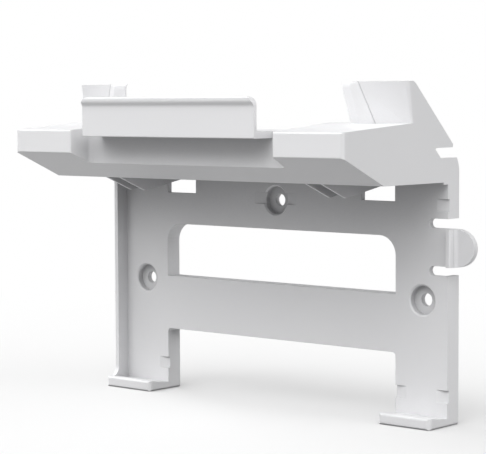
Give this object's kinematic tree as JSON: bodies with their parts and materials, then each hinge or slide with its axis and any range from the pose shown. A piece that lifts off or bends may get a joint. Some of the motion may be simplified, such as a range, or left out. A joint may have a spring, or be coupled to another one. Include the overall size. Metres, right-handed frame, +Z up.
{
  "type": "router stand",
  "caption": "Moulded plastic wall stand: a shelf with a hook lip and two ears for a router, on a windowed plate with feet, a side wall and a snap tongue for a slim unit below.",
  "frame": {"origin": "middle of the footprint box, on the surface under the feet", "axes": "+X to the right seen from the front, +Y back into the wall, +Z up"},
  "size_m": [0.1546, 0.0624, 0.1106],
  "materials": {
    "white_plastic": "fine moulded satin, off-white"
  },
  "bodies": {
    "root": {"bracket": "white_plastic"}
  },
  "joints": []
}
